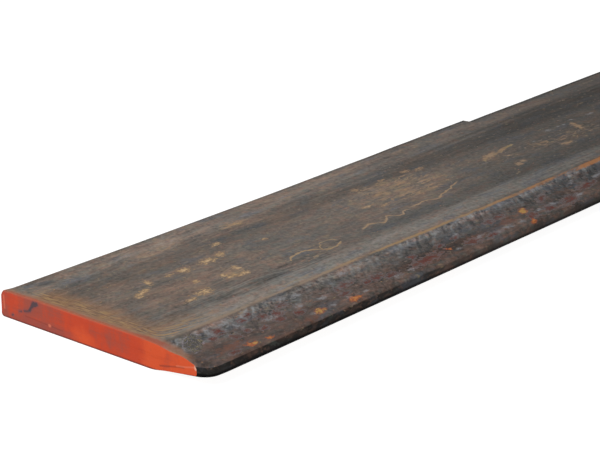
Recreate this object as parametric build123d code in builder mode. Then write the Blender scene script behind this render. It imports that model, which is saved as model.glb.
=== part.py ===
"""Hot-rolled steel flat bar with one long edge bevelled on both sides.

A piece of mill stock, sheared to length.  The body is flat.  Along one long edge the top
falls over a faint shoulder to a ridge and then down a bevel, the underside rises along a
bevel of its own, and the two meet in a blunt, rounded nose.  The other long edge is a
plain rolled edge, with a faint fall of the top towards it.  The bar is one piece and has
no holes.

Frame: millimetres, X along the bar, +Y to the plain back edge, +Z up.  The origin is the
centre of the footprint, on the plane of the underside.
"""

import os

from build123d import *

# Overall sizes
LENGTH = 1000.0  # as sheared
WIDTH = 150.0  # nose to back edge
THICKNESS = 16.0  # of the flat body

# Top side of the back edge: the rolls leave a band that falls faintly to the edge
BACK_BAND_WIDTH = 25.0  # back edge to the start of the band
BACK_BAND_FALL = 0.7  # from the flat top down to the back edge

# Top side of the nose edge: a faint shoulder, then the bevel proper
SHOULDER_WIDTH = 52.0  # nose to the start of the shoulder
SHOULDER_FALL = 0.9  # from the flat top down to the ridge
RIDGE_WIDTH = 33.5  # nose to the ridge, the width of the upper bevel
UPPER_BEVEL_FALL = 4.4  # from the ridge down to the nose

# Underside of the nose edge
LOWER_BEVEL_WIDTH = 38.0  # nose to the flat underside
LOWER_BEVEL_RISE = 4.2  # from the flat underside up to the nose

# Roll rounds of the section
BACK_TOP_ROUND = 3.5
BACK_BOTTOM_ROUND = 2.0
BACK_BAND_ROUND = 150.0
SHOULDER_ROUND = 150.0
RIDGE_ROUND = 12.0
NOSE_TOP_ROUND = 2.4
NOSE_BOTTOM_ROUND = 1.8
LOWER_BEVEL_ROUND = 50.0

# Ends: the nose corner is rounded off in plan where the bar is sheared
NOSE_CORNER_ROUND = 8.0

# Levels and edges worked out from the sizes above
back_edge = WIDTH / 2
nose_edge = -WIDTH / 2
back_top_level = THICKNESS - BACK_BAND_FALL
ridge_level = THICKNESS - SHOULDER_FALL
nose_top_level = ridge_level - UPPER_BEVEL_FALL
nose_face_height = nose_top_level - LOWER_BEVEL_RISE
largest_nose_round = 0.45 * nose_face_height

# Corners of the section in (Y, Z), each with the radius that rounds it
section_corners = [
    ((back_edge, 0), BACK_BOTTOM_ROUND),
    ((back_edge, back_top_level), BACK_TOP_ROUND),
    ((back_edge - BACK_BAND_WIDTH, THICKNESS), BACK_BAND_ROUND),
    ((nose_edge + SHOULDER_WIDTH, THICKNESS), SHOULDER_ROUND),
    ((nose_edge + RIDGE_WIDTH, ridge_level), RIDGE_ROUND),
    ((nose_edge, nose_top_level), min(NOSE_TOP_ROUND, largest_nose_round)),
    ((nose_edge, LOWER_BEVEL_RISE), min(NOSE_BOTTOM_ROUND, largest_nose_round)),
    ((nose_edge + LOWER_BEVEL_WIDTH, 0), LOWER_BEVEL_ROUND),
]

with BuildPart() as flat_bar:
    # The rolled section, drawn across the bar and run along its length
    with BuildSketch(Plane.YZ):
        with BuildLine():
            FilletPolyline(
                *[corner for corner, _ in section_corners],
                radius=[round_off for _, round_off in section_corners],
                close=True,
            )
        make_face()
    extrude(amount=LENGTH / 2, both=True)

    # The sheared outline seen from above, with its nose corners rounded off
    with BuildSketch(Plane.XY) as outline:
        Rectangle(LENGTH, WIDTH)
        nose_corners = outline.vertices().group_by(Axis.Y)[0]
        fillet(nose_corners, radius=NOSE_CORNER_ROUND)
    extrude(amount=THICKNESS, mode=Mode.INTERSECT)

flat_bar.part.label = "flat_bar"

os.makedirs("parts", exist_ok=True)
export_step(flat_bar.part, "parts/flat_bar.step")
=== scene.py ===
import bpy
import numpy as np
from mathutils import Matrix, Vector


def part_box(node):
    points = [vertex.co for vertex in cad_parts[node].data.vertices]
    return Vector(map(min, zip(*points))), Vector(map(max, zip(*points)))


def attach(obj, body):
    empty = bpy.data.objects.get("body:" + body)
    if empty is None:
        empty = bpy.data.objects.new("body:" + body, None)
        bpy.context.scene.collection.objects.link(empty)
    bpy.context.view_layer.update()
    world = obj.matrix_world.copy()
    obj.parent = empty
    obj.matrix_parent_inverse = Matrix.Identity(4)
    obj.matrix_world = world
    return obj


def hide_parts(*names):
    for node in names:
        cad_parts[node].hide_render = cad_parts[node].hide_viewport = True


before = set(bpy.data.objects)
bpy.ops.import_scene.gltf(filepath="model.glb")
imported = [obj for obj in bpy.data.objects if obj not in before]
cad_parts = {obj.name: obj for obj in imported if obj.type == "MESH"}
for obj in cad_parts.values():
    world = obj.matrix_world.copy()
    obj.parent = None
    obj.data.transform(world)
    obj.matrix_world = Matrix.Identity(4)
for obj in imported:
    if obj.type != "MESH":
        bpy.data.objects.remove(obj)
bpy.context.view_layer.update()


# ---------------------------------------------------------------------------------------
# Steel flat bar.  One length of hot-rolled mill stock, black with mill scale under a thin
# film of rust, with one long edge bevelled by the rolls on both sides.  It was sheared to
# length, and one sheared end was brushed with red marking paint.

mm = 0.001
low, high = (np.array(corner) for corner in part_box("flat_bar"))
painted_end, plain_end = low[0], high[0]
nose_edge, back_edge = low[1], high[1]
thickness = high[2]

# The rolled section, as in the CAD part
BACK_BAND_WIDTH = 25 * mm
BACK_BAND_FALL = 0.7 * mm
SHOULDER_WIDTH = 52 * mm
SHOULDER_FALL = 0.9 * mm
RIDGE_WIDTH = 33.5 * mm
UPPER_BEVEL_FALL = 4.4 * mm
LOWER_BEVEL_WIDTH = 38 * mm
LOWER_BEVEL_RISE = 4.2 * mm
BACK_BOTTOM_ROUND = 2 * mm
BACK_TOP_ROUND = 3.5 * mm
BACK_BAND_ROUND = 150 * mm
SHOULDER_ROUND = 150 * mm
RIDGE_ROUND = 12 * mm
NOSE_TOP_ROUND = 2.4 * mm
NOSE_BOTTOM_ROUND = 1.8 * mm
LOWER_BEVEL_ROUND = 50 * mm
NOSE_CORNER_ROUND = 8 * mm

ridge_line = nose_edge + RIDGE_WIDTH
lower_bevel_line = nose_edge + LOWER_BEVEL_WIDTH
ridge_level = thickness - SHOULDER_FALL
nose_top_level = ridge_level - UPPER_BEVEL_FALL

section_corners = [  # (y, z) and the radius that rounds it; the first only starts the line
    ((0, 0), 0),
    ((back_edge, 0), BACK_BOTTOM_ROUND),
    ((back_edge, thickness - BACK_BAND_FALL), BACK_TOP_ROUND),
    ((back_edge - BACK_BAND_WIDTH, thickness), BACK_BAND_ROUND),
    ((nose_edge + SHOULDER_WIDTH, thickness), SHOULDER_ROUND),
    ((ridge_line, ridge_level), RIDGE_ROUND),
    ((nose_edge, nose_top_level), NOSE_TOP_ROUND),
    ((nose_edge, LOWER_BEVEL_RISE), NOSE_BOTTOM_ROUND),
    ((lower_bevel_line, 0), LOWER_BEVEL_ROUND),
]


def rounded_line(corners, points_in_arc=24, points_in_side=40):
    """Closed (y, z) line through the corners, each rounded by the arc tangent to both sides.

    With unit vectors u and v towards the neighbours and the angle a between them, the arc
    of radius r touches the sides at r / tan(a / 2) from the corner, and its centre is at
    r / sin(a / 2) along u + v.
    """
    pieces = []
    for index, (place, radius) in enumerate(corners):
        corner = np.array(place)
        if radius == 0:
            pieces.append(corner[None])
            continue
        u = np.array(corners[index - 1][0]) - corner
        v = np.array(corners[(index + 1) % len(corners)][0]) - corner
        u, v = u / np.linalg.norm(u), v / np.linalg.norm(v)
        angle = np.arccos(u @ v)
        centre = corner + (u + v) / np.linalg.norm(u + v) * radius / np.sin(angle / 2)
        reach = radius / np.tan(angle / 2)
        start, end = corner + u * reach - centre, corner + v * reach - centre
        swept = np.pi - angle
        share = np.linspace(0, 1, points_in_arc)[:, None]
        arc = (np.sin((1 - share) * swept) * start + np.sin(share * swept) * end) / np.sin(swept)
        pieces.append(centre + arc)
    line = np.concatenate([*pieces, pieces[0][:1]])
    share = np.arange(points_in_side)[:, None, None] / points_in_side
    filled = line[:-1] + (line[1:] - line[:-1]) * share
    return np.concatenate([filled.transpose(1, 0, 2).reshape(-1, 2), line[-1:]])


def evenly_by(gap, length):
    """Places along a line, so that neighbours lie 'gap' apart.

    gap holds the wanted gap at each point of the line, and length the distance to it.  The
    sum of length / gap counts the steps, and the places are where that count is whole.
    """
    steps = np.diff(length) * 2 / (gap[1:] + gap[:-1])
    count = np.concatenate([[0], np.cumsum(steps)])
    wanted = np.linspace(0, count[-1], int(np.ceil(count[-1])) + 1)
    return np.interp(wanted, count, length)


def ease(start, end, value):
    """0 before start and 1 after end, with 3t² - 2t³ between them; start may be above end."""
    t = np.clip((value - start) / (end - start), 0, 1)
    return t * t * (3 - 2 * t)


def hump(value, centre, half_width):
    """A soft hump, 1 at the centre and about a third at half_width from it: exp(-t²)."""
    return np.exp(-(((value - centre) / half_width) ** 2))


def quarter_round(distance, radius):
    """How far a quarter circle of this radius falls back at a distance from its end."""
    short = np.clip(radius - distance, 0, radius)
    return radius - np.sqrt(np.maximum(radius**2 - short**2, 0))


def cloud(seed, places, size):
    """Smooth noise from about -1 to 1 at places (n, 3); size is a lump's width in x, y, z.

    Each corner of a lattice has a random direction.  The value in a cell is the dot product
    of that direction with the way from the corner, blended over its eight corners.
    """
    at = places / np.array(size)
    cell = np.floor(at).astype(np.int64)
    within = at - cell
    blend = within**3 * (within * (within * 6 - 15) + 10)
    directions = np.random.default_rng(seed).normal(size=(1024, 3))
    directions /= np.linalg.norm(directions, axis=1, keepdims=True)
    total = np.zeros(len(places))
    for corner in np.ndindex(2, 2, 2):
        corner = np.array(corner)
        x, y, z = (cell + corner).T
        direction = directions[(x * 73 + y * 179 + z * 283) % 1024]
        weight = np.prod(np.where(corner, blend, 1 - blend), axis=1)
        total += weight * np.sum(direction * (within - corner), axis=1)
    return total * 1.6


# Points round the section: closest together on the nose, the bevel and the back edge
outline = rounded_line(section_corners)
outline_length = np.linalg.norm(np.diff(outline, axis=0), axis=1)
outline_length = np.concatenate([[0], np.cumsum(outline_length)])
top_gap = np.interp(outline[:, 0] / mm, [-73, -72, -42, -41, 24, 30, 38, 40, 52, 54, 69, 70],
                    [0.7, 0.9, 0.9, 1.3, 1.3, 1.9, 1.9, 1, 1, 2.1, 2.1, 0.6])
under_gap = np.interp(outline[:, 0] / mm, [-73, -72, -38, -30, 70, 72, 75],
                      [0.8, 2.2, 2.6, 9, 9, 1.4, 1.2])
point_gap = np.where(outline[:, 1] > thickness / 2, top_gap, under_gap) * mm
point_place = evenly_by(point_gap, outline_length)[:-1]
section = np.stack([np.interp(point_place, outline_length, outline[:, k]) for k in (0, 1)], 1)
ahead = np.roll(section, -1, axis=0) - np.roll(section, 1, axis=0)
ahead /= np.linalg.norm(ahead, axis=1, keepdims=True)
around = len(section)

# Stations along the bar: packed in the rounded nose corners, close over the painted half
# and at the step in the back edge, and open where the bar is plain
LAP = 417  # where a sliver rolled along the back edge ends, in millimetres from the painted end
corner_stations = NOSE_CORNER_ROUND * (1 - np.cos(np.radians(np.linspace(0, 90, 16))))
ruler = np.linspace(painted_end + NOSE_CORNER_ROUND, plain_end - NOSE_CORNER_ROUND, 20000)
station_gap = np.interp((ruler - painted_end) / mm, [LAP - 7, LAP - 4, LAP + 4, LAP + 7, 600, 640],
                        [1.25, 0.5, 0.5, 2.2, 2.2, 6.5]) * mm
stations = np.concatenate([
    painted_end + corner_stations[:-1],
    evenly_by(station_gap, ruler - ruler[0]) + ruler[0],
    (plain_end - corner_stations[:-1])[::-1],
])
rows = len(stations)

# Every point of the skin: its place on the plain section, and the way out from there
CUT_SKEW = 0.8 * mm  # how far the nose corner of the cut stands back from its other corner
x, y = np.meshgrid(stations, section[:, 0], indexing="ij")
z = np.broadcast_to(section[:, 1], x.shape)
out_y = np.broadcast_to(ahead[:, 1], x.shape)
out_z = np.broadcast_to(-ahead[:, 0], x.shape)
places = np.stack([x, y, z], -1).reshape(-1, 3)
along = (x - painted_end - CUT_SKEW) / mm  # millimetres, as the marks below are placed
across = y / mm
on_top = ease(-0.2, 0.5, out_z)
below = ease(0.2, -0.5, out_z)
on_bevel = on_top * ease(-41.5, -44, across)


def skin_cloud(seed, *size):
    """Noise over the skin; the size of its lumps is in millimetres along x, y and z."""
    return cloud(seed, places, np.array(size) * mm).reshape(x.shape)


# Form: what shearing and rolling did to the plain section
END_ROLLOVER = 0.8 * mm
from_end = np.minimum(x - painted_end, plain_end - x)
upper_share = np.clip((ridge_line - y) / RIDGE_WIDTH, 0, 1)
lower_share = np.clip((lower_bevel_line - y) / LOWER_BEVEL_WIDTH, 0, 1)
nose_share = np.where(z > LOWER_BEVEL_RISE, upper_share, lower_share)
cut_back = quarter_round(from_end, NOSE_CORNER_ROUND) * nose_share
rolled_over = quarter_round(from_end, END_ROLLOVER) * on_top
skew = CUT_SKEW * (back_edge - y) / (back_edge - nose_edge) * ease(80, 0, along)

# The blade squeezed the bevel fuller at the painted end, and the nose sags a little
squeezed = ease(16, 0, along)
lift = 1.05 * hump(across, -63.5, 8) * on_top + 0.5 * ease(-35, -50, across) * below
sag = 0.1 * ease(20, 80, along) * ease(430, 330, along)
sag *= ease(8, 5, z / mm) * ease(-64, -74, across)
lift = (squeezed * lift - sag) * mm

# The back edge stands out where the blade squeezed it, lies up to 2.7 mm in, comes out again
# towards the lap where the sliver ends, steps in there and comes back over 350 mm
LAP_START, LAP_END = LAP - 0.6, LAP - 0.1
before_lap = 1.6 + 1.1 * ease(-30, 120, along) - 1.5 * ease(6.5, -3, along)
before_lap -= 1.35 * ease(195, 310, along)
before_lap += 0.25 * hump(along, 345, 22) - 0.95 * ease(345, LAP_START, along)
after_lap = np.clip(0.05 + 3.05 * np.exp((480 - along) / 140), 0.4, 3.1)
after_lap += 0.5 * ease(442, 414, along) + 0.3 * ease(480, 430, along)
past_lap = np.clip((along - LAP_START) / (LAP_END - LAP_START), 0, 1)
inset = before_lap + (after_lap - before_lap) * past_lap
edge_shift = -inset * mm * ease(back_edge - 30 * mm, back_edge, y)
sliver = ease(300, 350, along) * ease(LAP_END, LAP_START, along)
sliver *= ease(72.8, 73.6, across) * on_top

# Relief, in millimetres into the skin: rolled streaks, the groove above the shoulder, two
# faint grooves along the back band, wrinkles across the bevel, pits and shear marks
groove = np.clip((-15 - across) / 12, 0, 1) * ease(-28.8, -27.2, across) * on_top
groove *= (0.8 + 0.2 * skin_cloud(3, 60, 30, 30)) * ease(4, 30, along)
slant = places - np.array([[0.8, 0, 0]]) * places[:, 1:2]
wrinkles = cloud(5, slant, np.array([3.3, 15, 15]) * mm).reshape(x.shape)
wrinkles += 0.5 * cloud(6, slant, np.array([1.9, 6, 6]) * mm).reshape(x.shape)
wrinkled = on_top * ease(-41.8, -44, across) * ease(-62, -50, across) * ease(10, 40, along)
pits = ease(0.15, 0.6, skin_cloud(7, 3.4, 2.6, 3)) * on_bevel
relief = 0.05 * (1 + skin_cloud(1, 70, 6, 20)) + 0.025 * (1 + skin_cloud(2, 9, 4, 9))
relief += 0.16 * groove
relief += on_top * (0.1 * hump(across, 41.5, 3) + 0.05 * hump(across, 48.5, 1.8))
relief += wrinkled * 0.16 * (1 - wrinkles) + 0.22 * pits + 0.5 * sliver
relief = np.maximum(relief, 0) * ease(0, 1.5, from_end / mm)
inward = rolled_over + relief * mm

# The sliver keeps a sharp corner where the rest of the edge is rounded
sharpened = 0.45 * ease(300, 345, along) * ease(LAP_END, LAP_START, along) * BACK_TOP_ROUND
sharpened *= ease(-0.02, 0.02, out_z) * ease(60, 71, across) * ease(0, 3, from_end / mm)
edge_shift += sharpened * (1 - np.clip(out_y, 0, 1))
lift += sharpened * (1 - np.clip(out_z, 0, 1)) * ease(0, 0.02, out_y)

skin = np.stack([x + skew, y + cut_back + edge_shift - out_y * inward, z + lift - out_z * inward], -1)
skin[..., 2] = np.maximum(skin[..., 2], 0)

# End faces: rings that close in on a line halfway up the section
RINGS = np.array([0.07, 0.16, 0.27, 0.4, 0.55, 0.72, 0.9])


def end_rings(edge):
    """Rings from the edge of an end face in towards the line halfway up the section."""
    core_y = np.clip(edge[:, 1], nose_edge + NOSE_CORNER_ROUND + 4 * mm, back_edge - 9 * mm)
    core_z = np.interp(core_y, [nose_edge, ridge_line, 0], [7.3 * mm, 7.7 * mm, 8.0 * mm])
    core = np.stack([edge[:, 0], core_y, core_z], 1)
    return (edge + RINGS[:, None, None] * (core - edge)).reshape(-1, 3)


near_face, far_face = end_rings(skin[0]), end_rings(skin[-1])
shear_marks = np.array([9, 1.3, 8]) * mm
near_face[:, 0] += (0.12 + 0.08 * cloud(31, near_face, shear_marks)) * mm
far_face[:, 0] -= (0.16 + 0.12 * cloud(32, far_face, shear_marks)) * mm
vertices = np.concatenate([skin.reshape(-1, 3), near_face, far_face])

# Faces: the skin, the rings of the two end faces, and the thin face inside the last ring
corner_steps = [(0, 0), (0, 1), (1, 1), (1, 0)]
row, point = np.meshgrid(np.arange(rows - 1), np.arange(around), indexing="ij")
side_faces = np.stack([(row + r) * around + (point + p) % around for r, p in corner_steps], -1)


def end_faces(edge_row, first_ring, towards_plus_x):
    """Quads between the rings of an end face, and the last ring as one face."""
    starts = np.concatenate([[edge_row * around], first_ring + np.arange(len(RINGS)) * around])
    ring, place = np.meshgrid(np.arange(len(RINGS)), np.arange(around), indexing="ij")
    quads = np.stack([starts[ring + r] + (place + p) % around for r, p in corner_steps], -1)
    quads = quads.reshape(-1, 4)
    last = starts[-1] + np.arange(around)
    return (quads, last) if towards_plus_x else (quads[:, ::-1], last[::-1])


near_quads, near_last = end_faces(0, rows * around, False)
far_quads, far_last = end_faces(rows - 1, (rows + len(RINGS)) * around, True)
side_faces = side_faces.reshape(-1, 4)
quads = np.concatenate([side_faces, near_quads, far_quads])

bar_mesh = bpy.data.meshes.new("flat_bar_steel")
bar_mesh.from_pydata(vertices, [], [*quads.tolist(), near_last.tolist(), far_last.tolist()])
bar_mesh.shade_smooth()
bar = bpy.data.objects.new("flat_bar_steel", bar_mesh)
bpy.context.collection.objects.link(bar)

# A flat layout of every face for texture maps, all within a unit square.  The skin lies
# in two upright strips, the painted half and the plain half, with the underside narrowed.
# The end faces stand beside them.
STRIP_WIDTH = 0.445
STRIP_STARTS = np.array([0.01, 0.465])
STRIP_BOTTOM = 0.015
STRIP_HEIGHT = 0.97
UNDERSIDE_SHARE = 0.6
ENDS_LEFT = 0.925
ENDS_BOTTOM = 0.02
ENDS_WIDTH = 0.05
ENDS_SCALE = 2  # of the layout to a metre
ENDS_STEP = 0.35  # from the painted end up to the other
step_round = np.linalg.norm(np.roll(section, -1, axis=0) - section, axis=1)
step_round *= np.where(section[:, 1] < 0.5 * mm, UNDERSIDE_SHARE, 1)
round_share = np.concatenate([[0], np.cumsum(step_round)]) / np.sum(step_round)
split_row = np.argmin(np.abs(stations))
half_ends = stations[[0, split_row, -1]]
half = (row >= split_row).astype(int)  # 0 in the painted half and 1 in the plain one
half_length = half_ends[half + 1] - half_ends[half]
side_uv = np.stack([
    np.stack([STRIP_STARTS[half] + STRIP_WIDTH * round_share[point + p],
              STRIP_BOTTOM + STRIP_HEIGHT * (stations[row + r] - half_ends[half]) / half_length], -1)
    for r, p in corner_steps
], -2)
end_loops = np.concatenate([near_quads.ravel(), far_quads.ravel(), near_last, far_last])
end_places = vertices[end_loops]
end_uv = np.stack([ENDS_LEFT + end_places[:, 2] / thickness * ENDS_WIDTH,
                   ENDS_BOTTOM + (end_places[:, 1] - nose_edge) * ENDS_SCALE
                   + ENDS_STEP * (end_places[:, 0] > 0)], -1)
layout = bar_mesh.uv_layers.new(name="OFBake")
layout.uv.foreach_set("vector", np.concatenate([side_uv.ravel(), end_uv.ravel()]).astype(np.float32))

# Marks.  Each is a place along and across in millimetres, from the painted end and from the
# middle line, then half a length, half a width and a turn in degrees.
MARKS = {
    "ochre": [
        (38, 10, 3.6, 2.2, 50), (42, 12, 2.8, 1.7, 40), (46.5, 13, 3, 1.8, 30), (55, 20, 3.8, 1.9, 70),
        (71, 19.5, 2.8, 1.5, 20), (81.5, 18.5, 4.4, 3, 0), (101, 18.5, 6, 3, 5),
        (112.5, 20.5, 3.6, 2.6, 20), (123.5, 33.5, 3.2, 2.4, 20), (73.5, 2.5, 2.2, 1.7, 30),
        (66, -12, 4.6, 3.2, 20), (61, -10.5, 2.4, 1.6, 0), (52.5, -14.5, 4.4, 1.8, 5),
        (147.5, 18, 2, 1.4, 0), (92, -7.5, 3.8, 2, -10), (100, -9.5, 4.2, 1.8, 5),
        (103.5, -1, 2.2, 3.2, 0), (90, -3, 2, 2.8, 0), (158, 48, 2, 1.2, 0), (249.5, 34, 2.6, 2, 0),
        (275, 33.5, 3, 1.4, 10), (299, 33.5, 3.8, 1.6, 5), (309, 30, 4.2, 1.6, 12),
        (252, 18, 3.8, 1.5, 10), (271, 11.5, 3.6, 1.6, 5), (230, 9, 4, 1.5, 0), (240, 3, 4.4, 1.5, 8),
        (286, 0.5, 3.4, 1.4, 0), (361, 12, 9, 2.6, 10), (376, 13.5, 5, 1.8, 10), (369, 3, 1.8, 1.4, 0),
        (454, 5, 4.4, 2.4, 60), (457, 10, 3.6, 2, 60), (359, -12, 3.4, 2, 20), (366, -10, 2.6, 1.6, 10),
        (520, 24, 4, 1.6, 20), (548, -6, 5, 1.6, -10),
    ],
    "red_rust": [
        (33, -50, 4, 3.2, 20), (25, -54.5, 2.8, 1.8, 0), (52, -50, 3, 2.2, 0), (59, -48, 3, 2, 20),
        (64, -54, 3.6, 2.6, 0), (73, -56, 3.8, 2.6, 20), (82, -51.5, 3.4, 2.2, 0), (36, -60, 3.2, 2.2, 0),
        (46, -59, 2.6, 2, 0), (69, -61.5, 3.2, 2, 0), (55, -63, 2.8, 1.7, 0), (83, -63, 3.4, 1.9, 0),
        (126, -57, 8, 2.2, 5), (119, -64, 3.4, 1.8, 0), (149, -62, 5.5, 2.6, 0), (140, -62, 3.4, 2, 0),
        (158, -65.5, 5.5, 2.2, 0), (186, -58, 3, 2.4, 0), (189, -65.5, 13, 3, 3), (232, -67.5, 6, 2.8, 0),
        (211, -59, 3.4, 2, 0), (228, -57.5, 4.4, 1.7, 15), (262, -56.5, 3.8, 2.2, 0),
        (273, -56.5, 5, 2.2, 0), (250, -69, 7.5, 1.9, 4), (294, -67, 4.4, 2.8, 30),
        (310, -68, 5.5, 2.8, 0), (332, -68, 9.5, 3.4, 10), (318, -56, 5.5, 2.2, 20),
        (360, -62, 9.5, 2.4, 4), (395, -61, 10, 2.6, 4), (425, -63, 8.5, 3, 0), (290, -67.5, 5, 1.7, 60),
        (23, -71, 3.8, 1.4, 0),
    ],
    "orange_rust": [
        (36, -70.5, 3.6, 1.8, 0), (49, -71.5, 2.8, 1.4, 0), (119.5, -71, 4.3, 2.4, 10),
        (286.5, -72.5, 3.2, 1.4, 20), (212, -65, 1.8, 1.2, 0),
    ],
    "rusty": [
        (192, -66, 17, 4.2, 3), (236, -66, 10, 3.4, 0), (272, -63, 9, 3, 8), (26, -66.5, 11, 3.4, 0),
        (82, -71.5, 6, 1.8, 0),
    ],
    "yellow_rust": [
        (93, -68.5, 3.4, 2.2, 0), (292.5, -60.5, 3.6, 2.2, 35), (38.5, -71, 2, 1.2, 0),
    ],
    "pale": [
        (15, -47, 4.8, 1.6, 25), (6, -55, 2.6, 3.2, 0), (19, -46, 4.6, 1.4, 10), (41, -46.5, 6, 1.6, 10),
        (45, -52, 2.2, 4.8, 20), (28, -49, 2.4, 3.6, -20), (87, -46, 3.8, 2, 0), (97, -49, 4.4, 2.2, 10),
        (65, -57.5, 5.4, 1.8, 0), (89, -58, 3.6, 1.8, 0), (106, -59, 4.4, 2.2, 0), (137, -47, 4.4, 2, 0),
        (118, -68.5, 2.2, 1.5, 0), (130.5, -68.5, 2.2, 1.5, 0), (103.5, -68.5, 2.6, 1.5, 0),
        (88, -68, 2.2, 1.5, 0), (160, -68.5, 3.8, 1.9, 0), (172.5, -68, 2.2, 1.7, 0),
        (217, -68, 2.4, 1.5, 0), (231, -55.5, 3.4, 1.3, 10), (241, -65.5, 5.8, 1.4, 8),
        (255, -68.5, 2.8, 1.7, 0), (266, -68, 5.4, 2.3, 0), (280, -68.5, 3.8, 2.1, 0),
        (225, -46, 3.4, 1.7, 20), (302, -65.5, 4, 1.8, 0), (317, -65, 4.4, 1.8, 0),
        (343, -67.5, 5, 2.1, 15), (355, -53, 4.4, 1.6, 20), (380, -57, 9.5, 1.6, 6),
        (432.5, 15.5, 3.6, 2, 0), (445, 15, 1.8, 1.2, 0), (451, 14.5, 2.3, 1.3, 0), (464, 17, 2, 1.2, 0),
        (485, 15.5, 4.4, 1.4, 0), (405, 8, 1.8, 1.2, 0),
    ],
    "flake": [(13.5, -51.5, 10.5, 6, 38)],
}
COVERED_BY_NOSE = {"orange_rust": 1, "rusty": 0.5, "yellow_rust": 1}  # and the others not at all


def spots(marks):
    """How far inside the nearest oval mark: 1 in its middle, 0 on its rim, less outside."""
    found = np.full(x.shape, -1)
    for place_x, place_y, half_length, half_width, turn in marks:
        cosine, sine = np.cos(np.radians(turn)), np.sin(np.radians(turn))
        dx, dy = along - place_x, across - place_y
        long_share = (dx * cosine + dy * sine) / half_length
        wide_share = (dy * cosine - dx * sine) / half_width
        found = np.maximum(found, 1 - np.hypot(long_share, wide_share))
    return found


# Tone: how light the scale is.  Bands run along the bar where the rolls rubbed or bruised
# it, and it darkens away from the painted end, partly as the scale does and partly as
# painted falloff of the light.  Each band is its two edges across and how soft they are in
# millimetres, and what it adds to the tone at the painted end and from 360 mm on.
TONE_BANDS = [
    (49, 80, 4.5, 0.24, 0.32), (45.9, 47.3, 1.2, -0.06, -0.08), (41.6, 43.4, 1.4, 0.28, 0.52),
    (28, 45, 4, -0.26, -0.36), (8, 18, 5, -0.05, 0.06), (-25.6, -15, 2.5, -0.13, -0.26),
    (-41, -29.4, 2.2, 0.27, 0.52), (-42, -37, 1.5, 0.1, 0), (-48, -42.8, 1.8, 0.42, 0.84),
    (-57, -50, 3, -0.12, -0.1), (-66.5, -60.5, 1.6, -0.26, -0.06), (-74, -67, 3, -0.17, 0.06),
]
farness = ease(100, 360, along)
drift = np.clip((along - 280) * 0.035, 0, 6.5) * ease(30, 40, across) * ease(62, 54, across)
tone_and_shade = np.ones(x.shape)
for low_edge, high_edge, soft, near_gain, far_gain in TONE_BANDS:
    share = ease(low_edge - soft, low_edge + soft, across - drift)
    share *= ease(high_edge + soft, high_edge - soft, across - drift)
    tone_and_shade += share * (near_gain + (far_gain - near_gain) * farness)
tone_and_shade = 1 + (tone_and_shade - 1) * on_top

# Broad stains: the same five numbers, then what they add to the tone, the warmth and the
# number of rust flecks
STAINS = [
    (20, 62, 9, 5, -10, -0.56, -3, 0), (30, 53, 22, 9, -12, -0.12, -1.6, -0.5),
    (10, 67, 9, 7, 0, -0.06, -0.4, 0), (41, 48, 12, 4, 3, -0.06, -0.3, 0),
    (94, 52, 27, 8, 0, 0.14, 0.4, 1.8), (83, 63, 46, 8, 0, 0.04, 0.3, 0),
    (154, 49, 18, 7, 0, 0, 0.5, 3), (150, 67, 90, 8, 0, 0, 0.3, 0.2),
    (285, 64, 55, 7, 0, 0.03, 1.6, 0.9), (450, 60, 90, 9, 0, 0, 1.4, 0.3),
    (215, 60, 75, 16, 0, -0.12, 0.1, 0), (120, 37, 60, 11, 0, -0.06, -0.5, 0),
    (34, 22, 24, 14, 20, 0.04, 0.6, 0.8), (58, 0, 44, 17, 8, -0.03, 1.6, 0.4),
    (98, -3, 11, 11, 0, 0.03, 0.7, 2.6), (140, 12, 22, 18, 0, 0, -0.8, -1),
    (270, 13, 62, 24, -5, 0.06, 0.6, 2.6), (262, 28, 60, 7, 0, 0.14, 0.3, 1.6),
    (262, 39.5, 46, 3, 0, -0.1, -0.3, 0), (336, 18, 12, 14, 0, -0.04, 0.4, 0.9),
    (45, -24, 30, 5, 2, -0.05, -0.9, 0), (66, -24.5, 11, 4, 0, -0.2, -0.9, 0),
    (100, -24, 22, 5.5, 2, -0.26, -1.6, 0), (232, -21, 56, 7, 0, -0.12, -1.2, 0),
    (160, 5, 40, 18, 4, 0.02, -0.5, 0), (146, -21, 30, 5, 0, 0.02, 0.6, 1.6),
    (440, 36, 85, 20, 0, -0.1, -0.3, 0), (95, -33, 90, 7, 0, 0.03, -0.6, 0),
    (75, -35, 50, 6, 0, 0, 2.4, 0.4), (68, -31, 7, 3, 30, 0.22, 4, 0),
    (330, -33, 150, 8, 0, 0, -0.8, -1), (20, -36, 22, 6, 0, 0.06, -0.6, 0.4),
    (150, -34, 60, 5, 0, 0.03, -0.3, 0), (440, -2, 60, 14, 0, 0.04, 0.3, 1.4),
    (380, 4, 60, 12, 0, 0, 0.3, 1), (417, -10, 9, 4, 0, 0.06, 1.2, 3),
    (202, -63, 62, 13, 0, -0.46, 0, 0), (80, -37, 100, 5, 0, 0.18, -0.4, 0),
    (215, -38, 48, 3, 0, -0.16, -0.3, 0), (345, -14, 30, 16, 0, -0.08, -0.3, 0),
    (520, 66, 70, 10, 0, -0.06, 0, 0), (480, 53, 110, 9, 0, -0.14, 0, 0),
    (700, 20, 90, 26, 3, 0.06, 0.5, 0.6), (880, -4, 80, 30, -3, 0.04, 0.4, 0.8),
    (620, 60, 80, 9, 0, 0.06, 0.6, 0.6), (930, 55, 60, 12, 0, -0.08, -0.4, 0),
]
# Darker away from the painted end: partly the scale itself and partly painted falloff of the light
length_tone_and_falloff = np.interp(along, [0, 120, 230, 340, 450, 560, 1000],
                        [1, 1, 0.95, 0.72, 0.55, 0.48, 0.54])
warmth = -0.7 * ease(150, 430, along)
bloom = np.zeros(x.shape)
for *mark, add_tone, add_warmth, add_bloom in STAINS:
    share = ease(0, 0.75, spots([mark])) * on_top
    tone_and_shade += share * add_tone
    warmth += share * add_warmth
    bloom += share * add_bloom
tone_and_shade *= length_tone_and_falloff
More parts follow.
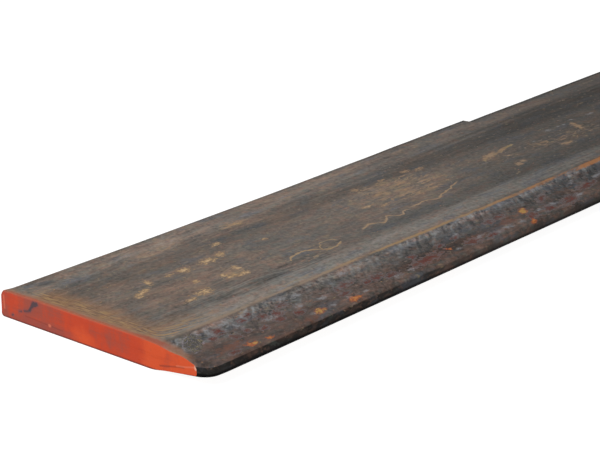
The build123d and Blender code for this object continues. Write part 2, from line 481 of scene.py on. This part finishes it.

# On the nose the scale is black and whole, with painted shade and highlight over it, and the back edge has
# painted shade
far_nose = ease(90, 240, along)
nose_side = ease(-0.2, -0.5, out_y)
nose = nose_side * ease(10.4 - 0.4 * far_nose, 9.5 - 0.8 * far_nose, z / mm)
brow_line_and_highlight = nose_side * hump(z / mm, 10.4, 0.8)
# Darker on the nose, partly for its black scale and partly as painted shade; its top round is lighter,
# partly for a lighter line of scale and partly as painted highlight
tone_and_shade *= (1 - nose * (0.44 - 0.24 * far_nose)) * (1 + 0.16 * brow_line_and_highlight)
# Painted shade that deepens down the nose face towards its lower round, above the floor
tone_and_shade *= (1 - (0.1 + 0.25 * far_nose) * nose_side * ease(8.2, 6.4, z / mm))
tone_and_shade *= (1 - (0.97 - 0.2 * far_nose) * nose_side * ease(7.2 - 0.4 * far_nose, 5.9, z / mm))
# A line of painted shade along the top of the back edge, stronger towards the lap; the back edge face is
# kept at half the tone
rim = 0.25 * ease(370, 410, along) * ease(LAP + 7, LAP - 1, along)
rim = (0.25 + 0.35 * ease(270, 330, along) + rim) * ease(68.6, 70.4, across) * on_top
tone_and_shade *= (1 - np.maximum(rim, 0.5 * ease(0.3, 0.8, out_y)))
raised = np.clip(wrinkles, -1, 1) * wrinkled - pits * 0.8


def write_attribute(name, skin_values, face_value):
    """A number at every vertex: the skin's values, and one value on both end faces."""
    layer = bar_mesh.attributes.new(name, "FLOAT", "POINT")
    ends = np.full(len(vertices) - rows * around, face_value)
    layer.data.foreach_set("value", np.concatenate([skin_values.ravel(), ends]).astype(np.float32))


off_top = np.where(on_top > 0.4, 0, 1)
write_attribute("tone_and_shade", tone_and_shade, 1)
write_attribute("warmth", warmth, 0)
write_attribute("bloom", bloom, 0)
write_attribute("raised", raised, 0)
write_attribute("nose", nose, 0)
for kind, marks in MARKS.items():
    write_attribute(kind, spots(marks) - off_top - COVERED_BY_NOSE.get(kind, 0) * nose, -1)


def shade(red, green, blue):
    """A colour as the eye reads it, 0 to 255, turned into the linear values of a shader."""
    seen = np.array([red, green, blue]) / 255
    linear = np.where(seen <= 0.04045, seen / 12.92, ((seen + 0.055) / 1.055) ** 2.4)
    return (*linear, 1)


class Output:
    """What a node gives out.  Its sums, products and eases are further nodes of the finish."""

    def __init__(self, finish, socket):
        self.finish = finish
        self.socket = socket

    def __add__(self, other):
        return self.finish.math("ADD", self, other)

    def __sub__(self, other):
        return self.finish.math("SUBTRACT", self, other)

    def __rsub__(self, other):
        return self.finish.math("SUBTRACT", other, self)

    def __mul__(self, other):
        return self.finish.math("MULTIPLY", self, other)

    def __abs__(self):
        return self.finish.math("ABSOLUTE", self)

    __radd__ = __add__
    __rmul__ = __mul__

    def around_zero(self, gain=1):
        """Noise, which lies about one half, moved to lie about zero."""
        return self.finish.math("MULTIPLY_ADD", self, gain, -gain / 2)

    def ease(self, start, end, top=1):
        """0 to top as the value goes from start to end, softly."""
        inputs = {"Value": self, "From Min": start, "From Max": end, "To Max": top}
        return self.finish.add("ShaderNodeMapRange", inputs=inputs, output="Result",
                               interpolation_type="SMOOTHSTEP")

    def near(self, middle, far, close, top=1):
        """0 where the value is this far from the middle, and up to top where it is close."""
        return abs(self - middle).ease(far, close, top)


class Finish:
    """A material's node tree, with a short call for each kind of node that it needs.

    Its places are in millimetres: along from the painted end, across from the middle line,
    and up from the underside.
    """

    def __init__(self, name):
        self.material = bpy.data.materials.new(name)
        self.material.use_nodes = True
        self.tree = self.material.node_tree
        self.colour = None
        metres = self.add("ShaderNodeTexCoord", output="Object")
        start = (-(painted_end + CUT_SKEW) / mm, 0, 0)
        self.place = self.vector("MULTIPLY_ADD", metres, (1 / mm, 1 / mm, 1 / mm), start)
        half = (0.5, 0.5, 0.5)
        sway = self.vector("SUBTRACT", self.noise(metres, 14, output="Color"), half)
        shake = self.vector("SUBTRACT", self.noise(metres, 110, output="Color"), half)
        self.swayed = self.vector("MULTIPLY_ADD", sway, (16, 7, 0), self.place)
        self.shaken = self.vector("MULTIPLY_ADD", shake, (6, 3, 2), self.swayed)
        self.along, self.across, self.level = (
            self.add("ShaderNodeSeparateXYZ", self.place, output=axis) for axis in "XYZ")
        self.wavering = self.across + self.mottle(7, 5, 2, 0.6, 93).around_zero(5)

    def join(self, value, socket):
        """A socket takes what another node gives out, or a number or colour as it is."""
        if isinstance(value, Output):
            self.tree.links.new(value.socket, socket)
        else:
            socket.default_value = value

    def add(self, kind, *values, inputs=None, output=0, **settings):
        """What a new node gives out; values join its first sockets, and inputs the named ones."""
        node = self.tree.nodes.new(kind)
        for name, value in settings.items():
            setattr(node, name, value)
        for name, value in [*enumerate(values), *(inputs or {}).items()]:
            self.join(value, node.inputs[name])
        return Output(self, node.outputs[output])

    def math(self, operation, *values, **more):
        return self.add("ShaderNodeMath", *values, operation=operation, **more)

    def vector(self, operation, *values, **more):
        return self.add("ShaderNodeVectorMath", *values, operation=operation, **more)

    def length(self, way):
        return self.vector("LENGTH", way, output="Value")

    def noise(self, where, size, detail=2, roughness=0.5, output="Fac"):
        inputs = {"Vector": where, "Scale": size, "Detail": detail, "Roughness": roughness}
        return self.add("ShaderNodeTexNoise", inputs=inputs, output=output)

    def stretched(self, where, stretch, detail=3, roughness=0.6, shift=0):
        """Noise over places that are multiplied by three numbers; shift gives another one."""
        places = self.vector("MULTIPLY_ADD", where, stretch, (shift, shift, shift))
        return self.noise(places, 1, detail, roughness)

    def mottle(self, long, wide, detail=3, roughness=0.6, shift=0):
        """Noise in lumps of this length and width, in millimetres."""
        return self.stretched(self.shaken, (1 / long, 1 / wide, 1 / wide), detail, roughness, shift)

    def streaks(self, long, wide, shift):
        """Noise in smooth streaks of this length and width, in millimetres."""
        return self.stretched(self.swayed, (1 / long, 1 / wide, 1 / wide), 2, 0.5, shift)

    def mix(self, share, under, over):
        """A colour between two, each of them (red, green, blue) or what a node gives out."""
        colours = [shade(*colour) if isinstance(colour, tuple) else colour for colour in (under, over)]
        return self.add("ShaderNodeMixRGB", share, *colours)

    def coat(self, share, over):
        """Lays a colour over the ones before it, thinly or fully as share goes from 0 to 1."""
        self.colour = self.mix(share, self.colour, over)

    def attribute(self, name):
        return self.add("ShaderNodeAttribute", attribute_name=name, output="Fac")

    def off_line(self, points):
        """Distance across the bar from a bent line through these (along, across) points."""
        points = np.array(points, dtype=float)
        first, last = points[0, 0], points[-1, 0]
        floor, reach = points[:, 1].min(), np.ptp(points[:, 1])
        node = self.tree.nodes.new("ShaderNodeFloatCurve")
        curve = node.mapping.curves[0]
        shares = np.stack([(points[:, 0] - first) / (last - first), (points[:, 1] - floor) / reach], 1)
        curve.points[0].location, curve.points[-1].location = shares[0], shares[-1]
        for share in shares[1:-1]:
            curve.points.new(*share)
        for dot in curve.points:
            dot.handle_type = "VECTOR"
        node.mapping.update()
        share = self.math("MULTIPLY_ADD", self.along, 1 / (last - first), -first / (last - first))
        self.join(share, node.inputs["Value"])
        line = self.math("MULTIPLY_ADD", Output(self, node.outputs[0]), reach, floor)
        beyond = self.math("MAXIMUM", first - self.along, self.along - last)
        return self.math("MAXIMUM", abs(self.wavering - line), beyond)

    def complete(self, roughness, specular, height, bump_depth, bump_strength):
        """Joins the colour, the roughness and a bump of this height to the shader."""
        inputs = {"Strength": bump_strength, "Distance": bump_depth, "Height": height}
        bump = self.add("ShaderNodeBump", inputs=inputs)
        shader = self.tree.nodes["Principled BSDF"]
        self.join(self.colour, shader.inputs["Base Color"])
        self.join(roughness, shader.inputs["Roughness"])
        self.join(specular, shader.inputs["Specular IOR Level"])
        self.join(bump, shader.inputs["Normal"])


# Mill scale: slate and brown patches in rolled streaks, with flecks and blooms of rust
SLATE = (107, 101, 94)
BROWN = (126, 108, 95)
OLIVE_TAN = (140, 122, 97)
LILAC = (142, 134, 134)
PALE_BLUE = (130, 132, 133)
OCHRE = (186, 153, 112)
RED_RUST = (108, 55, 49)
ORANGE_RUST = (182, 96, 54)
YELLOW_RUST = (192, 150, 84)
OVERSPRAY = (166, 120, 94)

scale = Finish("mill_scale")
along, across = scale.along, scale.across  # the same two places, now as the nodes give them
coat, mix, mottle = scale.coat, scale.mix, scale.mottle
warm_stain = scale.attribute("warmth")
bloom_level = scale.attribute("bloom")
top_side = scale.level.ease(8.5, 9.5)
bevel = across.ease(-41.6, -43.6) * top_side
lower_half = bevel * (across + mottle(9, 5, 2).around_zero(22)).ease(-54, -60)

warm = warm_stain * 0.2 + mottle(26, 10, 3, 0.55)
scale.colour = mix(warm.ease(0.28, 0.72), SLATE, BROWN)
olive = bloom_level * 0.05 + mottle(9, 5, 3, 0.6, 5)
coat(olive.ease(0.54, 0.74, 0.55), OLIVE_TAN)

# Bevel: slate strokes pressed slantwise above, with painted highlight and shade from its relief, and brown
# blotches below
paler = mottle(7, 5, 3, 0.6, 9).ease(0.4, 0.6)
near_upper = mix(paler, (92, 91, 90), (116, 106, 99))
far_upper = mix(paler, (86, 90, 95), (116, 110, 108))
coat(bevel * 0.85, mix(along.ease(120, 300), near_upper, far_upper))
blotches = mottle(9, 3.5, 4, 0.65, 13).ease(0.4, 0.6)
coat(lower_half, mix(blotches, (92, 86, 82), (116, 94, 84)))
coat(lower_half * along.ease(150, 70, 0.5), (108, 89, 82))

lean = scale.add("ShaderNodeCombineXYZ", across * -0.8)
leaning = scale.vector("ADD", scale.shaken, lean)
strokes = scale.stretched(leaning, (1 / 3.2, 1 / 10, 1 / 10), 2, 0.55)
# Where the wrinkles stand up the strokes turn pale as painted highlight, and in pits and troughs dark as
# painted shade
stands = scale.attribute("raised") * 0.12 + strokes
crisp = 1 - along.ease(75, 105) * along.ease(205, 170, 0.4)
pale_strokes_and_highlights = stands.ease(0.5, 0.64, 0.65) * (bevel - lower_half) * crisp
coat(pale_strokes_and_highlights, PALE_BLUE)
dark_strokes_and_shade = stands.ease(0.47, 0.33, 0.75) * (bevel - lower_half * 0.6) * crisp
coat(dark_strokes_and_shade, (50, 52, 56))

# Nose: whole, black scale, darkened further as painted shade where it faces down, and bruised to lilac
# along its upper edge near the painted end
nose_share = mottle(9, 3, 3, 0.6, 49).around_zero() * along.ease(20, 200)
nose_share = (scale.attribute("nose") + nose_share).ease(0.15, 0.9)
coat(nose_share, mix(along.ease(120, 280), (53, 50, 48), (88, 79, 74)))
bruised = nose_share.ease(0, 0.12) * nose_share.ease(0.5, 0.15) * along.ease(70, 30, 0.5)
coat(bruised, LILAC)

# Lightness: soft streaks, mottle, rolled hairlines and grain, over the bands and stains.
# The band beside the ridge was rubbed smooth by the rolls
rolled = across.ease(-26, -30) * across.ease(-41, -38) * top_side
cool = across.ease(-13, -19) * across.ease(-41, -37, 0.5) * top_side
coat(cool, (117, 115, 110))
hues = mottle(6, 4, 3, 0.65, 81)
coat(hues.ease(0.53, 0.66, 0.42), (136, 102, 86))
coat(hues.ease(0.47, 0.34, 0.36), (98, 106, 98))
wide_hues = warm_stain * 0.05 + mottle(26, 8, 3, 0.6, 83)
coat(wide_hues.ease(0.52, 0.68, 0.4), (128, 98, 86))
coat(wide_hues.ease(0.47, 0.3, 0.55), (94, 98, 106))
patches = mottle(19, 9, 3, 0.55, 61)
hairs = scale.streaks(36, 1.7, 21)
grain = mottle(2.6, 2.3, 2, 0.6, 25)
light = 1 + scale.streaks(70, 5, 17).around_zero() * (0.4 + across.ease(26, 44, 0.8))
light += patches.around_zero(1.8) * (1 - rolled * 0.7) + hairs.around_zero(0.45)
in_streak = across.ease(-13, -17) * across.ease(-33, -28) * along.ease(190, 120)
light += scale.streaks(22, 1.1, 75).around_zero(1.6) * in_streak
grain_gain = 1.4 + bevel * along.ease(260, 90) - lower_half * along.ease(140, 60) * 1.3
light += grain.around_zero() * grain_gain * (1 - nose_share * 0.75)
# The tone also brings in the painted shade on the nose and back edge and the painted falloff along the bar
light *= scale.attribute("tone_and_shade")
scale.colour = scale.vector("SCALE", scale.colour, inputs={"Scale": light})
coat(rolled * hairs.ease(0.5, 0.64, 0.35), (138, 134, 130))

# Rust: fine flecks, spots with a faint rim and a bright middle, and thin crooked lines
ragged = mottle(2.8, 2, 3, 0.6, 29).around_zero(3.4)
patchy = mottle(9, 6, 2, 0.5, 33)
crumbs = mottle(1.5, 1.2, 2, 0.6, 73).around_zero(2.4) * (0.2 + along.ease(330, 120, 0.8))
flecks = bloom_level * 0.05 + mottle(5, 2.6, 2, 0.6, 37)
fleck_hue = mottle(12, 6, 1, 0.5, 65).ease(0.44, 0.56)
fleck_colour = mix(fleck_hue, (152, 134, 104), (148, 126, 112))
coat(flecks.ease(0.61, 0.76, 0.65) * top_side, fleck_colour)
scribble = mottle(17, 5, 2, 0.5, 57).near(0.5, 0.032, 0.01)
scribble *= bloom_level.ease(0.6, 1.8, 0.7) * patchy.ease(0.42, 0.54)
coat(scribble, (172, 140, 108))
wisps = scale.streaks(11, 1.5, 77).ease(0.54, 0.66) * bloom_level.ease(0.8, 2.6, 0.65)
coat(wisps * patchy.ease(0.4, 0.52), (172, 138, 106))


def lay_spots(name, rim_colour, middle_colour, rim=0.5, middle=0.85, more=0, core=0.85):
    """Lays on the spots of one kind, ragged, with a faint rim and a stronger middle."""
    inside = scale.attribute(name) + ragged + more
    coat(inside.ease(-0.35, 0.35, rim), rim_colour)
    coat((crumbs * 1.5 + inside).ease(0.1, core, middle), middle_colour)


RUST_LINES = [  # the points (along, across) of a line, its half width, its strength and its colour
    ([(131.5, -15.5), (134, -13), (137.5, -12), (146, -10.5), (151, -13), (154, -15.5), (156.5, -18.5),
      (160, -20.5), (166, -20.5), (172.5, -18)], 0.5, 0.8, OCHRE),
    ([(157, -17), (159, -13.5), (163.5, -10), (168.5, -9.5), (173, -12.5)], 0.4, 0.7, OCHRE),
    ([(198, -14), (200, -13), (206, -11), (211, -13), (214, -15.5), (219, -14.5), (224, -11),
      (227, -12), (230, -14.5), (234, -15), (237.5, -12), (246, -11), (254, -10.5), (261, -10.5),
      (266, -13), (269, -14), (276, -11.5), (282, -9.5), (290, -8.5), (295, -5.5), (305, -3.5)],
     0.5, 0.85, (176, 144, 110)),
    ([(350, 8.5), (356, 11), (366, 12), (372, 11.5), (382, 14.5), (390, 15)],
     0.8, 0.8, (164, 140, 100)),
    ([(451, 1.5), (454, 4), (458, 11.5)], 1, 0.7, (150, 122, 82)),
    ([(48, -17), (70, -18), (92, -18.5), (110, -21), (116, -23), (124, -24)],
     0.3, 0.5, (142, 136, 128)),
    ([(18, -30), (60, -28.5), (100, -28), (160, -29.5), (250, -28.5), (330, -28)],
     0.3, 0.4, (140, 136, 130)),
    ([(100, -37), (115, -36.5), (126, -35.5)], 0.4, 0.6, (158, 138, 112)),
    ([(134, -31.5), (148, -30.5), (160, -31)], 0.3, 0.6, (146, 142, 136)),
]
for points, half_width, strength, line_colour in RUST_LINES:
    line_share = (scale.off_line(points) + ragged * 0.35).ease(half_width + 0.7, half_width - 0.3, strength)
    coat(line_share * patchy.ease(0.22, 0.44) * top_side, line_colour)
ochre_colour = mix(along.ease(190, 250), OCHRE, (166, 136, 106))
lay_spots("ochre", (140, 114, 90), ochre_colour, 0.6, 0.9, 0.25, 0.9)
# Lighter crumbs in the ochre spots near the painted end, partly painted glints on them
light_crumbs_and_glints = (scale.attribute("ochre") + ragged + crumbs).ease(0.5, 1, 0.75)
coat(light_crumbs_and_glints * along.ease(290, 190), (216, 184, 142))
lay_spots("rusty", (122, 84, 68), (136, 80, 58), 0.35, 0.35, 0.1)
red_edge = scale.attribute("red_rust") + ragged
coat(red_edge.ease(-0.42, -0.12) * red_edge.ease(0.22, 0.02, 0.45), (140, 134, 138))
lay_spots("red_rust", (106, 80, 74), RED_RUST, 0.45, 0.95, 0.1, 1.3)
lay_spots("pale", LILAC, (148, 149, 153), 0.3, 0.62)
lay_spots("orange_rust", ORANGE_RUST, (208, 140, 70), 0.75, 0.7, 0, 1.1)
lay_spots("yellow_rust", ORANGE_RUST, YELLOW_RUST, 0.5, 0.9, 0.2)

# Ridge: a thin line of rust where the rolls met, from tan to orange along the bar
ridge_middle = -40.5 - along.ease(120, 400, 2.6) + mottle(60, 60, 1, 0.5, 41).around_zero(3)
ridge_off = abs(across - ridge_middle) + (ragged + crumbs) * 0.6
ridge_width = 0.3 + along.ease(290, 390, 0.9)
ridge_share = (ridge_off - ridge_width).ease(1.4, -0.1, 0.85) * along.ease(12, 30)
ridge_share *= mottle(26, 8, 3, 0.6, 45).ease(0.3, 0.5) * top_side
ridge_colour = mix(along.ease(110, 180), (160, 140, 120), (176, 142, 100))
ridge_colour = mix(along.ease(230, 380), ridge_colour, (184, 124, 76))
under_ridge = (across + ragged * 0.3).ease(-39.5, -41.4) * across.ease(-44, -42.4)
coat(under_ridge * along.ease(160, 60, 0.35) * top_side, (84, 72, 64))
coat(ridge_share, ridge_colour)

# A flake of whole scale beside the cut: dark olive, with a pale rim and hair-thin rust
flake = scale.attribute("flake") + mottle(7, 6, 3, 0.6, 69).around_zero(1.3)
hair_off = abs(scale.stretched(scale.shaken, (0.34, 0.2, 0.2), 2) - 0.5)
flake_colour = mix(hair_off.ease(0.025, 0.008, 0.8), (76, 73, 67), (154, 140, 108))
flake_colour = mix(hair_off.near(0.09, 0.016, 0.004, 0.7), flake_colour, (152, 142, 154))
coat(flake.ease(-0.02, 0.2, 0.85), flake_colour)
coat(flake.near(0.02, 0.1, 0.02, 0.6) * patchy.ease(0.4, 0.56), (158, 148, 158))

# Sheared end: golden scratches that follow the cut and then bend along the ridge, and a
# faint mist of the red paint right at the edge
from_cut = along + across * 0.0053 + 0.4
run_in = scale.math("SMOOTH_MIN", from_cut, across + 41.5, 12)
scratch_place = scale.add("ShaderNodeCombineXYZ", run_in * 0.75, (along + across) * 0.07)
scratches = scale.vector("MULTIPLY_ADD", scale.shaken, (0.16, 0.05, 0), scratch_place)
scratches = scale.noise(scratches, 1, 3, 0.6)
golden = run_in + mottle(40, 16, 2, 0.5, 53).around_zero(12)
golden_tint = golden.ease(26, 5, 0.46) * across.ease(62, 44) * across.ease(-42, -22)
coat(golden_tint * along.ease(60, 12) * top_side, (170, 118, 68))
near_cut = golden.ease(1, 4) * golden.ease(15, 8) * along.ease(70, 10)
near_cut *= across.ease(66, 46) * top_side
coat(near_cut * scratches.ease(0.46, 0.36, 0.5), (76, 70, 62))
coat(near_cut * scratches.ease(0.5, 0.6, 0.85), (172, 138, 94))
wide_mist = across.ease(-22, -36, 2.6) * across.ease(-60, -50)
misted = ragged * 0.8 + from_cut - wide_mist
clear_of_nose = across.ease(-68, -56) * top_side
coat(misted.ease(4.5, 0.8, 0.75) * clear_of_nose, OVERSPRAY)
coat(misted.ease(2, -0.3, 0.75) * clear_of_nose * across.ease(-52, -40), (172, 82, 60))

rough = 0.56 + patches.around_zero(0.5) - pale_strokes_and_highlights * 0.1 + nose_share * 0.35
bumps = patches + grain * 0.4 + hairs * 0.4 + strokes * bevel * 2
scale.complete(rough, specular=0.12, height=bumps, bump_depth=0.2 * mm, bump_strength=0.6)

# Red marking paint, brushed along the sheared face, thin and chipped towards the back edge
PAINT_RED = (188, 60, 24)
PAINT_ORANGE = (206, 76, 30)
PAINT_DULL = (150, 68, 52)
PAINT_DARK = (98, 38, 28)
PAINT_LIGHT = (214, 116, 86)
BARE_STEEL = (76, 64, 70)
FAR_OFF = 99  # millimetres, more than the end face is wide or high from any mark

paint = Finish("red_marking_paint")


def blob(middle_across, middle_level, half_width, half_height):
    """1 in the middle of an oval on the end face and 0 from its rim outwards."""
    off = paint.vector("SUBTRACT", paint.place, (0, middle_across, middle_level))
    off = paint.vector("MULTIPLY", off, (0, 1 / half_width, 1 / half_height))
    return paint.math("MAXIMUM", 1 - paint.length(off), 0)


def stroke_off(points):
    """Distance to a chain of straight strokes between (across, level) points.

    On each, the nearest point is start + t * (end - start), with t the share of the way
    that the dot product gives, held between 0 and 1.
    """
    nearest = FAR_OFF
    for start, end in zip(points, points[1:]):
        way = np.subtract(end, start)
        off = paint.vector("SUBTRACT", paint.place, (0, *start))
        off = paint.vector("MULTIPLY", off, (0, 1, 1))
        share = paint.vector("DOT_PRODUCT", off, (0, *(way / (way @ way))), output="Value")
        share = paint.math("ADD", share, 0, use_clamp=True)
        reached = paint.vector("SCALE", (0, *way), inputs={"Scale": share})
        off = paint.vector("SUBTRACT", off, reached)
        nearest = paint.math("MINIMUM", nearest, paint.length(off))
    return nearest


brush = paint.mottle(20, 11, 3, 0.6, 3)
bristles = paint.stretched(paint.place, (0.2, 0.05, 0.9))
daubs = paint.stretched(paint.shaken, (0.2, 0.22, 0.05))
frayed = paint.mottle(2.4, 2, 3, 0.65, 7).around_zero(2.4)
worn = brush.around_zero(1.8) + bristles.around_zero() + daubs.around_zero(1.6)
worn += paint.across.ease(18, 36, 0.8) - blob(71, 10, 12, 9) * 0.9 + blob(-9, 8, 17, 16) * 0.6
fresh = brush.around_zero(-1.6) + paint.across.ease(-24, -36, 0.9) + blob(13, 3, 11, 9)
paint.colour = paint.mix(fresh.ease(0, 1), PAINT_RED, PAINT_ORANGE)
paint.coat(worn.ease(0, 1.1, 0.9), PAINT_DULL)

# Along the underside the paint is smeared and dirty, with painted contact shadow along its bottom edge, and
# it is lighter along its top edge and by the back corner
smear = paint.across.ease(14, 26) * paint.across.ease(66, 52) * (paint.level + frayed).ease(5.5, 3, 0.5)
paint.coat(smear, (140, 66, 58))
dirt = frayed * 0.25 + stroke_off([(56, 4.6), (28, 3.4)])
paint.coat(dirt.ease(0.7, 0, 0.35), PAINT_DARK)
# Painted contact shadow along the bottom edge of the end face, rising with the lower bevel
contact_shadow = paint.level - paint.across.ease(-38, -70) * 4
paint.coat(contact_shadow.ease(1.2, 0.3, 0.8), PAINT_DARK)
lip = frayed * 0.3 + paint.level
paint.coat(lip.ease(14, 15.3, 0.22), PAINT_LIGHT)
paint.coat(stroke_off([(72.2, 5), (72.6, 12)]).ease(0.9, 0.2, 0.5), PAINT_LIGHT)
fleck = frayed * 0.3 + blob(37.6, 3.8, 1.7, 1.4)
paint.coat(fleck.ease(0.1, 0.7, 0.7), PAINT_LIGHT)

# A crease runs up to the nose, with painted shade along it at first and then a painted highlight on its
# edge; painted highlights also line the nose's upper edge and its tip
crease = [(-42, 3.5), (-46.7, 4.5), (-53.3, 6), (-58.3, 6.8), (-65.8, 8.6)]
crease_highlight = [(place, height + 0.5) for place, height in crease[2:]]
nose_edge_highlight = [(-55, 13.8), (-61, 12.4), (-64.6, 11.2), (-66.6, 9.6)]
paint.coat(stroke_off(crease[:4]).ease(0.8, 0, 0.5), PAINT_DARK)
paint.coat(stroke_off(crease_highlight).ease(0.8, 0, 0.6), PAINT_LIGHT)
paint.coat(stroke_off(nose_edge_highlight).ease(0.9, 0.2, 0.4), PAINT_LIGHT)
# A painted highlight at the tip of the nose
paint.coat(blob(-66.3, 8.8, 1.6, 1.8).ease(0, 0.6, 0.9), (222, 160, 134))

# Chips down to the steel, in one broken run from the top edge to the underside
CHIPS = [  # the points (across, level) that a chip runs along, and its half width
    ([(47.4, 13.2), (49.6, 12.6)], 1.9), ([(49, 13.6), (50.9, 10.8)], 1.7),
    ([(51.6, 9.8), (52.6, 8.6)], 1.5), ([(53.8, 7.8), (56.6, 7.2)], 1.2),
    ([(58.8, 6.5), (60.6, 5.8)], 1), ([(65.4, 3), (66.2, 2.4)], 1),
]
inside_chip = -FAR_OFF
for points, half_width in CHIPS:
    inside_chip = paint.math("MAXIMUM", inside_chip, half_width - stroke_off(points))
inside_chip = frayed * 0.8 + inside_chip
chipped = inside_chip.ease(0.1, 1.2)
paint.coat(inside_chip.ease(-0.8, 0.4, 0.45), (124, 68, 68))
paint.coat(chipped * 0.92, BARE_STEEL)
paint.complete(0.42 + chipped * 0.3, specular=0.15, height=bristles - chipped,
               bump_depth=0.15 * mm, bump_strength=0.7)

# Bare sheared steel, on the end without paint: torn fibres, rusting in patches
sheared = Finish("sheared_steel")
tearing = sheared.stretched(sheared.place, (0.2, 0.8, 0.12), 4, 0.65)
rusting = sheared.mottle(8, 6, 4, 0.65)
sheared.colour = sheared.mix(tearing.ease(0.35, 0.65), (104, 98, 94), (140, 132, 126))
sheared.coat(rusting.ease(0.48, 0.66, 0.8), (128, 90, 66))
sheared.complete(0.45 + rusting.around_zero(0.6), specular=0.5, height=tearing,
                 bump_depth=0.3 * mm, bump_strength=0.8)

for finish in (scale, paint, sheared):
    bar_mesh.materials.append(finish.material)
PAINTED, SHEARED = 1, 2  # the skin's finish is number 0
near_start, far_start = len(side_faces), len(side_faces) + len(near_quads)
finish_of_face = np.zeros(len(bar_mesh.polygons), np.int32)
finish_of_face[near_start:far_start] = PAINTED
finish_of_face[far_start:] = SHEARED
finish_of_face[-2] = PAINTED  # the last ring of the painted end comes next to last
bar_mesh.polygons.foreach_set("material_index", finish_of_face)

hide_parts("flat_bar")
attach(bar, "root")


# ---------------------------------------------------------------------------------------
# Camera and studio.  The bar lies on a white light table, seen from low beside its painted
# end.  One large soft lamp hangs high over that end, and a weak one stands behind the bar.

CAMERA_PLACE = (-1.1571, -0.6882, 0.4029)
CAMERA_LOOKS = (0.7206, 0.6081, -0.3331)
CAMERA_ROLL = 0.0026  # radians
CAMERA_LENS = 120.33  # millimetres, on a sensor 36 mm wide
FLOOR_REACH = 8
FLOOR_LEVEL = -0.1 * mm

camera_data = bpy.data.cameras.new("camera")
camera_data.lens = CAMERA_LENS
camera_data.sensor_width = 36
camera_data.clip_start = 0.01
camera = bpy.data.objects.new("camera", camera_data)
camera.location = CAMERA_PLACE
camera.rotation_euler = Vector(CAMERA_LOOKS).to_track_quat("-Z", "Y").to_euler()
camera.rotation_euler.rotate_axis("Z", CAMERA_ROLL)
bpy.context.collection.objects.link(camera)
bpy.context.scene.camera = camera
bpy.context.scene.view_settings.view_transform = "Standard"


def soft_lamp(name, place, aim, size, power):
    """A square area lamp at a place, turned to light the aim."""
    lamp_data = bpy.data.lights.new(name, "AREA")
    lamp_data.size = size
    lamp_data.energy = power
    lamp = bpy.data.objects.new(name, lamp_data)
    lamp.location = place
    lamp.rotation_euler = (Vector(place) - Vector(aim)).to_track_quat("Z", "Y").to_euler()
    bpy.context.collection.objects.link(lamp)


soft_lamp("key_lamp", place=(-1.5, 0.5, 1.6), aim=(-0.3, 0, 0), size=1.4, power=25)
soft_lamp("back_lamp", place=(1.3, 1.5, 0.9), aim=(0, 0, 0), size=1.2, power=5)

world = bpy.data.worlds.new("white_room")
world.use_nodes = True
background = world.node_tree.nodes["Background"]
background.inputs["Color"].default_value = (1, 1, 1, 1)
background.inputs["Strength"].default_value = 0.28
bpy.context.scene.world = world

floor_mesh = bpy.data.meshes.new("floor")
floor_corners = [(-1, -1), (1, -1), (1, 1), (-1, 1)]
floor_mesh.from_pydata([(a * FLOOR_REACH, b * FLOOR_REACH, FLOOR_LEVEL) for a, b in floor_corners],
                       [], [(0, 1, 2, 3)])
floor = bpy.data.objects.new("floor", floor_mesh)
bpy.context.collection.objects.link(floor)
table = bpy.data.materials.new("light_table")
table.use_nodes = True
table_shader = table.node_tree.nodes["Principled BSDF"]
for name, value in (("Base Color", (0.3, 0.3, 0.3, 1)), ("Roughness", 0.9),
                    ("Specular IOR Level", 0.1), ("Emission Color", (1, 1, 1, 1)),
                    ("Emission Strength", 0.92)):
    table_shader.inputs[name].default_value = value
floor_mesh.materials.append(table)
